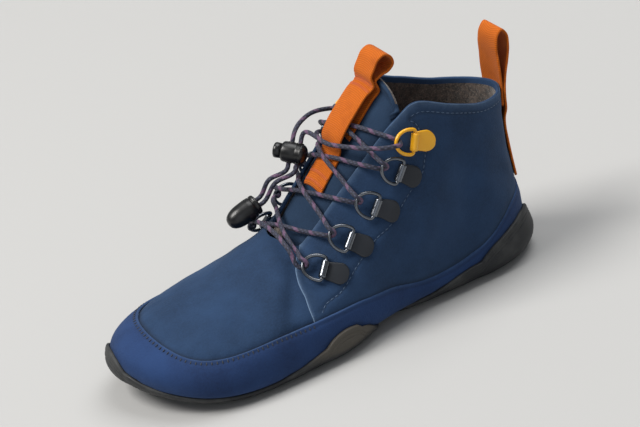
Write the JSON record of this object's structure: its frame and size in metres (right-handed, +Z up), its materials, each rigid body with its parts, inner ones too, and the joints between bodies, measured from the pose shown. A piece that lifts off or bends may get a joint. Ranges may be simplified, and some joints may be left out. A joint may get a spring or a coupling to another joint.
{
  "type": "barefoot ankle boot",
  "caption": "Left ankle-high barefoot shoe with a thin flexible sole, a wide toe box, ring lacing with a cord lock, and pull loops at tongue and heel.",
  "frame": {"origin": "centre of the shoe's box in plan, on the floor that the sole rests on", "axes": "+X towards the toe, +Y to the outer (little toe) side, +Z up"},
  "size_m": [0.2678, 0.1008, 0.1439],
  "materials": {
    "outsole_rubber": "matt moulded",
    "nubuck_leather": "matt nubuck",
    "tongue_nubuck": "matt nubuck",
    "insole_felt": "felted",
    "orange_webbing": "woven",
    "gunmetal_wire": "dark polished",
    "gunmetal_plate": "matt dark",
    "yellow_lacquer": "gloss",
    "elastic_cord": "braided",
    "black_plastic": "moulded"
  },
  "bodies": {
    "root": {"upper": "nubuck_leather", "outsole": "outsole_rubber", "insole": "insole_felt", "tongue": "tongue_nubuck", "tongue_loop": "orange_webbing", "heel_loop": "orange_webbing", "plate_outer_1": "gunmetal_plate", "plate_outer_2": "gunmetal_plate", "plate_outer_3": "gunmetal_plate", "plate_outer_4": "gunmetal_plate", "plate_outer_5": "yellow_lacquer", "plate_inner_1": "gunmetal_plate", "plate_inner_2": "gunmetal_plate", "plate_inner_3": "gunmetal_plate", "plate_inner_4": "gunmetal_plate", "plate_inner_5": "yellow_lacquer", "ring_outer_1": "gunmetal_wire", "ring_outer_2": "gunmetal_wire", "ring_outer_3": "gunmetal_wire", "ring_outer_4": "gunmetal_wire", "ring_outer_5": "yellow_lacquer", "ring_inner_1": "gunmetal_wire", "ring_inner_2": "gunmetal_wire", "ring_inner_3": "gunmetal_wire", "ring_inner_4": "gunmetal_wire", "ring_inner_5": "yellow_lacquer", "lace_bar": "elastic_cord", "lace_cross_1": "elastic_cord", "lace_cross_2": "elastic_cord", "lace_cross_3": "elastic_cord", "lace_cross_4": "elastic_cord", "lace_leg_outer": "elastic_cord", "lace_leg_inner": "elastic_cord", "lace_end_outer": "elastic_cord", "lace_end_inner": "elastic_cord", "cord_lock": "black_plastic", "cord_lock_button": "black_plastic", "cord_end": "black_plastic"}
  },
  "joints": []
}
